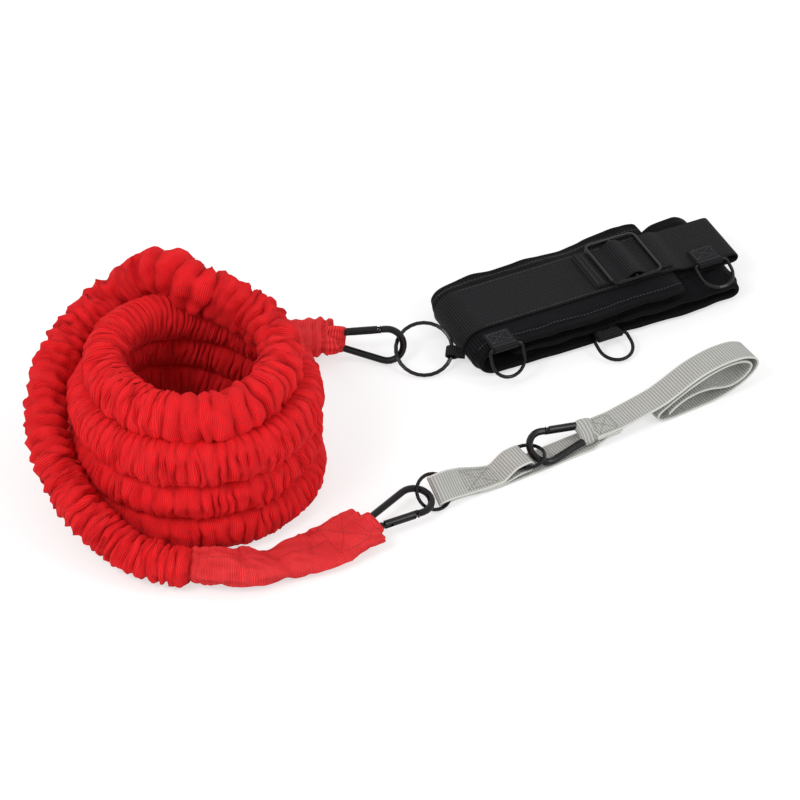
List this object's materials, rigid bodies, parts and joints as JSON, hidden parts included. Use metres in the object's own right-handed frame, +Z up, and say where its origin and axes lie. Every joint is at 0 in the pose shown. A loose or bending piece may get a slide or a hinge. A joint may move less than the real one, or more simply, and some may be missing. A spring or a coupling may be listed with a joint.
{
  "type": "resistance sprint trainer",
  "caption": "Elastic tube in a gathered red sleeve, laid in a coil, with a folded padded waist belt clipped to one end and a grey webbing anchor strap clipped to the other.",
  "frame": {"origin": "on the floor, under the middle of the cuffs, belt, straps and hardware", "axes": "+Z up, +X from the coil towards the belt and the straps' far ends, +Y from the anchor strap's side towards the belt's side"},
  "size_m": [0.5849, 0.4471, 0.1574],
  "materials": {
    "red_sleeve": "ribbed woven polyester, gathered",
    "red_cuff": "ribbed woven polyester, stitched",
    "latex": "natural latex, matt",
    "black_metal": "black gloss coated steel",
    "spring_steel": "bare spring wire",
    "grey_webbing": "ribbed polypropylene webbing",
    "black_webbing": "ribbed polypropylene webbing",
    "black_pad": "foam covered in black fabric"
  },
  "bodies": {
    "bungee": {"gathered_sleeve": "red_sleeve", "elastic_tube": "latex", "upper_end_cuff": "red_cuff", "lower_end_cuff": "red_cuff"},
    "upper_hook": {"upper_hook_body": "black_metal", "upper_hook_hinge_pin": "black_metal", "upper_hook_nose_pin": "black_metal"},
    "upper_gate": {"upper_hook_gate": "black_metal", "upper_hook_gate_spring": "spring_steel"},
    "back_ring": {"back_ring": "black_metal"},
    "belt": {"belt_pad": "black_pad", "belt_webbing": "black_webbing", "back_ring_loop": "black_webbing", "front_d_ring_tab": "black_webbing", "side_d_ring_tab": "black_webbing", "lower_d_ring_tab": "black_webbing"},
    "slider": {"belt_slider": "black_metal", "strap_end": "black_webbing"},
    "front_d_ring": {"front_d_ring": "black_metal"},
    "side_d_ring": {"side_d_ring": "black_metal"},
    "lower_d_ring": {"lower_d_ring": "black_metal"},
    "lower_hook": {"lower_hook_body": "black_metal", "lower_hook_hinge_pin": "black_metal", "lower_hook_nose_pin": "black_metal"},
    "lower_gate": {"lower_hook_gate": "black_metal", "lower_hook_gate_spring": "spring_steel"},
    "lower_strap_ring": {"lower_strap_ring": "black_metal"},
    "anchor_strap": {"ring_strap": "grey_webbing", "loop_strap": "grey_webbing"},
    "upper_strap_ring": {"upper_strap_ring": "black_metal"},
    "strap_hook": {"strap_hook_body": "black_metal", "strap_hook_hinge_pin": "black_metal", "strap_hook_nose_pin": "black_metal"},
    "strap_gate": {"strap_hook_gate": "black_metal", "strap_hook_gate_spring": "spring_steel"}
  },
  "joints": [
    {"name": "upper_hook_swing", "type": "hinge", "parent": "bungee", "child": "upper_hook", "pos_m": [-0.10926, 0.06746, 0.0185], "axis": [0, 0, 1], "range_deg": [-5, 5]},
    {"name": "upper_gate_hinge", "type": "hinge", "parent": "upper_hook", "child": "upper_gate", "pos_m": [-0.10395, 0.07008, 0.02438], "axis": [0.0616, 0.8894, -0.4529], "range_deg": [0, 25], "stiffness_Nm_per_rad": 0.02, "springref_deg": -20.05},
    {"name": "back_ring_swing", "type": "hinge", "parent": "upper_hook", "child": "back_ring", "pos_m": [-0.05846, 0.06212, 0.01493], "axis": [0, 0, 1], "range_deg": [-4, 4]},
    {"name": "belt_swing", "type": "hinge", "parent": "back_ring", "child": "belt", "pos_m": [-0.01897, 0.05797, 0.01215], "axis": [0, 0, 1], "range_deg": [-5, 5]},
    {"name": "slider_slide", "type": "slide", "parent": "belt", "child": "slider", "axis": [0.9063, 0.4226, 0], "range_m": [-0.025, 0.008]},
    {"name": "front_d_ring_hinge", "type": "hinge", "parent": "belt", "child": "front_d_ring", "pos_m": [0.02373, 0.03937, 0.03235], "axis": [-0.9063, -0.4226, 0], "range_deg": [0, 120]},
    {"name": "side_d_ring_hinge", "type": "hinge", "parent": "belt", "child": "side_d_ring", "pos_m": [0.19513, 0.14743, 0.03145], "axis": [-0.9063, -0.4226, 0], "range_deg": [0, 120]},
    {"name": "lower_d_ring_hinge", "type": "hinge", "parent": "belt", "child": "lower_d_ring", "pos_m": [0.10983, 0.07952, 0.01], "axis": [-0.9063, -0.4226, 0], "range_deg": [0, 60]},
    {"name": "lower_hook_swing", "type": "hinge", "parent": "bungee", "child": "lower_hook", "pos_m": [-0.08232, -0.14854, 0.0125], "axis": [0, 0, 1], "range_deg": [-5, 5]},
    {"name": "lower_gate_hinge", "type": "hinge", "parent": "lower_hook", "child": "lower_gate", "pos_m": [-0.07446, -0.15117, 0.01153], "axis": [0.0857, -0.1097, 0.9903], "range_deg": [0, 25], "stiffness_Nm_per_rad": 0.02, "springref_deg": -20.05},
    {"name": "lower_ring_swing", "type": "hinge", "parent": "lower_hook", "child": "lower_strap_ring", "pos_m": [-0.04197, -0.11702, 0.0125], "axis": [0, 0, 1], "range_deg": [-4, 4]},
    {"name": "strap_swing", "type": "hinge", "parent": "lower_strap_ring", "child": "anchor_strap", "pos_m": [-0.03723, -0.11433, 0.0125], "axis": [0, 0, 1], "range_deg": [-2, 2]},
    {"name": "upper_ring_tilt", "type": "hinge", "parent": "anchor_strap", "child": "upper_strap_ring", "pos_m": [0.03687, -0.07068, 0.0102], "axis": [-0.5075, 0.8616, 0], "range_deg": [-2.5, 2]},
    {"name": "strap_hook_swing", "type": "hinge", "parent": "anchor_strap", "child": "strap_hook", "pos_m": [0.08488, -0.04066, 0.0102], "axis": [0, 0, 1], "range_deg": [-3, 1.5]},
    {"name": "strap_gate_hinge", "type": "hinge", "parent": "strap_hook", "child": "strap_gate", "pos_m": [0.07794, -0.03767, 0.01374], "axis": [0.2724, -0.4022, 0.8741], "range_deg": [0, 25], "stiffness_Nm_per_rad": 0.02, "springref_deg": -20.05}
  ]
}
